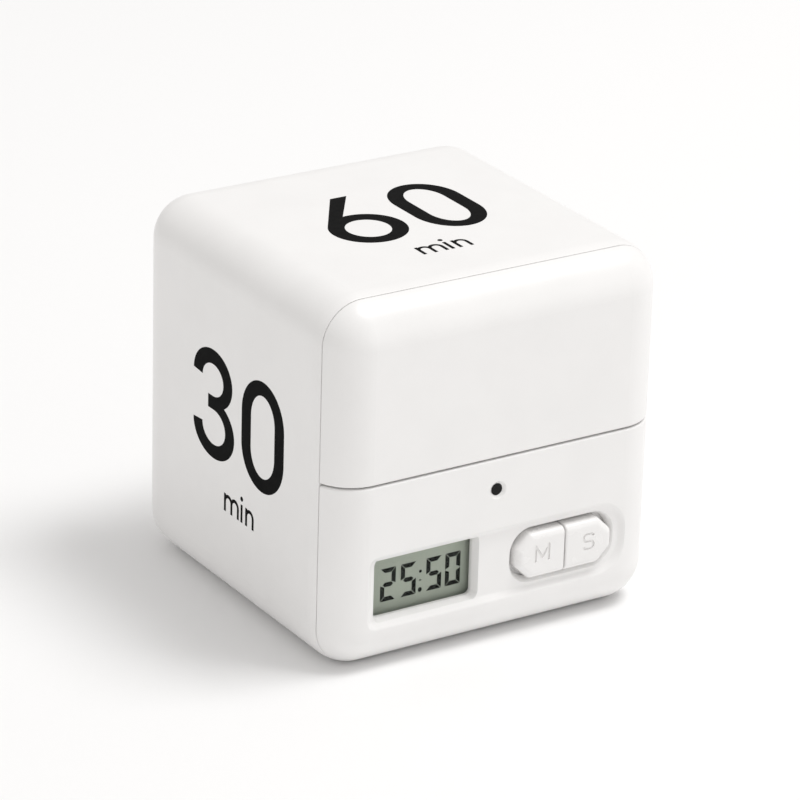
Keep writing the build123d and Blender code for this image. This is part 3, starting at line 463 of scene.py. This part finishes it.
def arc(centre, radii, start, end):
    """Points along an ellipse between two angles in degrees."""
    start, end = radians(start), radians(end)
    steps = max(2, round(abs(end - start) / ARC_STEP))
    angles = [start + (end - start) * step / steps for step in range(steps + 1)]
    return [(centre[0] + radii[0] * cos(angle), centre[1] + radii[1] * sin(angle))
            for angle in angles]


def pulled_ring(centre, radii, straight):
    """An ellipse whose two halves stand apart by a straight piece."""
    above = arc((centre[0], centre[1] + straight), radii, 0, 180)
    below = arc((centre[0], centre[1] - straight), radii, 180, 360)
    return above + below


# %% Figures
def nought(half_width, half_height, stroke, cap_stroke, straight):
    """A tall 0 round its own middle."""
    outer = pulled_ring((0, 0), (half_width, half_height - straight), straight)
    inner = pulled_ring((0, 0), (half_width - stroke, half_height - cap_stroke - straight),
                        straight)
    return [outer, inner]


def six():
    """A 6 with an open straight stem, round the middle of its bowl."""
    bowl = arc((0, 0), (6.5, 6.35), 98, -213)
    stem = [(1.47, 14.1), (4.56, 14.1)]
    return [stem + bowl, arc((0, 0), (3.72, 3.85), 0, 355)]


def three():
    """A 3 of two bowls, standing on zero, with its left tips at x = 0."""
    line = arc((6.1, 13.7), (6.1, 5.0), 180, -54.9)
    line += arc((6.5, 5.17), (6.47, 5.17), 61.1, -180)
    line += arc((6.5, 5.4), (3.62, 3.0), 180, 450)
    line += [(4.64, 8.4), (4.64, 10.7)]
    line += arc((6.1, 13.45), (3.28, 2.75), -90, 180)
    return [line]


def five():
    """A 5 with a straight stem and one bowl, standing on zero."""
    line = [(1.9, 18.7), (11.7, 18.7), (11.7, 16.3), (4.5, 16.3), (4.1, 11.85)]
    line += arc((5.9, 6.05), (6.5, 6.05), 106.1, -180)
    line += arc((5.9, 6.15), (3.65, 3.7), 180, 497)
    return [line + [(1.05, 8.6)]]


def one():
    """A 1 with a slanted flag, standing on zero."""
    return [[(3.6, 0), (6.4, 0), (6.4, 18.7), (4.2, 18.7), (0, 15.6), (0, 12.6), (3.6, 15.2)]]


print("nought has", len(nought(6.1, 10.2, 2.8, 2.4, 3.0)[0]), "points round its outside")

# %% [markdown]
# The word under each figure is set in a light hand: an m, an i and an n built from stems and
# half-round arches. An n is one arch beside its stem, and an m is two, so one function draws
# both. Where two arches meet, and where an arch leaves the first stem, the outline has a notch.

# %% The word
STEM = 0.6
ARCH = 2.05                 # middle of one stem to the middle of the next
X_HEIGHT = 3.1


def arched(count, at_x):
    """An n (one arch) or an m (two), standing on zero with its first stem at at_x."""
    outer, inner = (ARCH + STEM) / 2, (ARCH - STEM) / 2
    spring = X_HEIGHT - outer
    centres = [(at_x + STEM / 2 + ARCH * (index + 0.5), spring) for index in range(count)]
    leaves_stem = 180 - degrees(atan((outer ** 2 - inner ** 2) ** 0.5 / inner))
    meets = degrees(atan((outer ** 2 - (ARCH / 2) ** 2) ** 0.5 / (ARCH / 2)))
    line = [(at_x, 0), (at_x, X_HEIGHT), (at_x + STEM, X_HEIGHT)]
    for index, centre in enumerate(centres):
        start = leaves_stem if index == 0 else 180 - meets
        end = meets if index < count - 1 else 0
        line += arc(centre, (outer, outer), start, end)
    for centre in reversed(centres):
        line += [(centre[0] + outer, 0), (centre[0] + inner, 0)]
        line += arc(centre, (inner, inner), 0, 180)
        line += [(centre[0] - inner, 0)]
    return [line]


def minutes():
    """The word min, starting at zero and standing on zero."""
    dot = arc((5.55, X_HEIGHT + 1.0), (0.42, 0.42), 0, 345)
    stem = [(5.25, 0), (5.25, X_HEIGHT), (5.85, X_HEIGHT), (5.85, 0)]
    return arched(2, 0) + [stem, dot] + arched(1, 6.7)


print("the word is", round(6.7 + ARCH + STEM, 2), "mm wide")

# %% [markdown]
# The ink is pad-printed: a soft silicone pad lays down a film of two hundredths of a millimetre.
# It dries to a dense black, duller than the plastic round it, with a slightly uneven surface,
# and its edge sinks a few thousandths into the grain of the plastic.
# The face below carries a print as well, and the floor is drawn a hair lower to leave it room.

# %% Printed faces
ink, tree, body, at = new_finish("pad_printed_ink", IOR=1.5, Specular_IOR_Level=0.02)
mottle(tree, body, at, 1.5, "#0C0C0C", "#101010")
vary_roughness(tree, body, at, 1.0, 0.42, 0.55)
grain(tree, body, at, 0.2, 0.002)

INK_SUNK = 0.004

side = shell_high.x / MM
lift = INK_T / 2 - INK_SUNK
top_face = face_frame((0, 0, top_z / MM + lift), (1, 0, 0), (0, 1, 0))
left_face = face_frame((-side - lift, 0, 0), (0, -1, 0), (0, 0, 1))
right_face = face_frame((side + lift, 0, 0), (0, 1, 0), (0, 0, 1))
base_face = face_frame((0, 0, -lift), (1, 0, 0), (0, -1, 0))
wide_nought = nought(6.1, 10.2, 2.8, 2.4, 3.0)
side_nought = nought(6.5, 9.4, 2.87, 2.4, 2.6)
prints = (
    ("numeral_60", moved(six(), -7.43, -1.7) + moved(wide_nought, 7.9, 2.1), top_face),
    ("minutes_60", moved(minutes(), -5.8, -15.6), top_face),
    ("numeral_30", moved(three(), -12.25, 24.3) + moved(side_nought, 9.47, 33.7), left_face),
    ("minutes_30", moved(minutes(), -2.2, 16.6), left_face),
    ("numeral_5", moved(five(), -5.9, 24.3), right_face),
    ("minutes_5", moved(minutes(), -4.7, 16.6), right_face),
    ("numeral_15", moved(one(), -9.6, -7.6) + moved(five(), -0.2, -7.6), base_face),
    ("minutes_15", moved(minutes(), -4.7, -15.3), base_face),
)
for name, outlines, on_face in prints:
    flat_piece(name, outlines, on_face, ink)
print(len(prints), "prints laid down")

# %% [markdown]
# ## Display segments
# The display shows 25:50. A figure has six bars round its outside and one across its middle.
# An outer bar is long on its outer edge and short on its inner edge, and its ends are cut so
# that neighbours meet along a thin bright line. The middle bar has a point at each end. The
# segments lie between the two sheets of glass, and an unlit point between the two dots of the
# colon stays faintly visible.

# %% Segment shapes
DIGIT_W, DIGIT_H = 2.85, 5.7
BAR = 0.78
BAR_GAP = 0.06
SEGMENTS = {"0": "abcdef", "2": "abdeg", "5": "acdfg"}


def outer_bar(corner, along, outward, length, far_cut):
    """A bar whose outer edge starts at a corner of the figure, both ends cut back inside."""
    shape = ((BAR_GAP, 0), (length - BAR_GAP, 0), (length - far_cut - BAR_GAP, -BAR),
             (BAR + BAR_GAP, -BAR))
    return [(corner[0] + u * along[0] + v * outward[0], corner[1] + u * along[1] + v * outward[1])
            for u, v in shape]


def digit(figure):
    """The lit bars of one figure, with its lower left corner at zero."""
    half, wide, tall = DIGIT_H / 2, DIGIT_W, DIGIT_H
    tip, end = BAR / 2 + BAR_GAP, BAR + BAR_GAP
    bars = {
        "a": outer_bar((0, tall), (1, 0), (0, 1), wide, BAR),
        "b": outer_bar((wide, tall), (0, -1), (1, 0), half, BAR / 2),
        "c": outer_bar((wide, 0), (0, 1), (1, 0), half, BAR / 2),
        "d": outer_bar((0, 0), (1, 0), (0, -1), wide, BAR),
        "e": outer_bar((0, 0), (0, 1), (-1, 0), half, BAR / 2),
        "f": outer_bar((0, tall), (0, -1), (-1, 0), half, BAR / 2),
        "g": [(tip, half), (end, half + BAR / 2), (wide - end, half + BAR / 2),
              (wide - tip, half), (wide - end, half - BAR / 2), (end, half - BAR / 2)],
    }
    return [bars[key] for key in SEGMENTS[figure]]


# %% The display reads 25:50
crystal_ink, tree, body, at = new_finish("dark_liquid_crystal", Roughness=0.6,
                                       Specular_IOR_Level=0.0)
mottle(tree, body, at, 1.0, "#020303", "#050605")
faint_ink, tree, body, at = new_finish("unlit_liquid_crystal", Roughness=0.6, Alpha=0.3)
mottle(tree, body, at, 1.0, "#4A524A", "#525A52")

SEGMENT_T = 0.01
FIGURES = (("2", -19.95), ("5", -16.15), ("5", -11.4), ("0", -7.85))   # and left edges
FIGURES_Z = 10.1
COLON_X = -12.5

glass_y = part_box("display_front_glass")[1].y / MM
display_face = face_frame((0, glass_y - SEGMENT_T, FIGURES_Z), (1, 0, 0), (0, 0, 1))
for index, (figure, at_x) in enumerate(FIGURES):
    flat_piece(f"display_figure_{index + 1}", moved(digit(figure), at_x, 0), display_face,
               crystal_ink, SEGMENT_T)
colon = [arc((COLON_X, 3.75), (0.27, 0.27), 0, 345), arc((COLON_X, 0.55), (0.36, 0.42), 0, 345)]
flat_piece("display_colon", colon, display_face, crystal_ink, SEGMENT_T)
flat_piece("display_unlit_dot", [arc((COLON_X, 2.2), (0.26, 0.16), 0, 345)], display_face,
           faint_ink, SEGMENT_T)
print("display reads 25:50")

# %% [markdown]
# A black disc sits in the hole in the panel, a little behind its mouth. It is painted shade that
# stands in for the dark inside of the small round hole.

# %% Painted shade in the sound hole
HOLE_SHADE_R = 0.98
HOLE_SHADE_T = 0.08
HOLE_SHADE_DEPTH = 0.42          # from the face of the panel
ring_low, ring_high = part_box("sounder_gasket")
hole_shade_at = ((ring_low + ring_high) / 2) / MM
hole_shade_face = face_frame((hole_shade_at.x, front_y / MM + HOLE_SHADE_DEPTH, hole_shade_at.z), (1, 0, 0), (0, 0, 1))
# Painted shade: a near-black disc that darkens the inside of the sound hole.
painted_shade_disc = moulded("black_painted_hole_shade", "#0B0B0B", 0.9, 0.15, 0.02)
flat_piece("sound_hole_painted_shade", [arc((0, 0), (HOLE_SHADE_R, HOLE_SHADE_R), 0, 355)], hole_shade_face, painted_shade_disc,
           HOLE_SHADE_T)
print("gauze in the hole, in line with the ring at", [round(v, 2) for v in hole_shade_at])

# %% [markdown]
# ## Floor
# The timer stands on a white sweep of paper, large enough to fill the picture.

# %% Floor
FLOOR_SIDE = 6000
FLOOR_DROP = 0.02

floor_mesh = bpy.data.meshes.new("floor")
reach = FLOOR_SIDE / 2
floor_mesh.from_pydata([place(x, y, -FLOOR_DROP) for x, y in
                        ((-reach, -reach), (reach, -reach), (reach, reach), (-reach, reach))],
                       [], [(0, 1, 2, 3)])
floor = bpy.data.objects.new("floor", floor_mesh)
bpy.context.scene.collection.objects.link(floor)
paper, tree, body, at = new_finish("white_paper", Base_Color=linear("#F5F5F5"), Roughness=0.85)
grain(tree, body, at, 1.2, 0.02)
floor_mesh.materials.append(paper)
print("floor", FLOOR_SIDE, "mm wide")
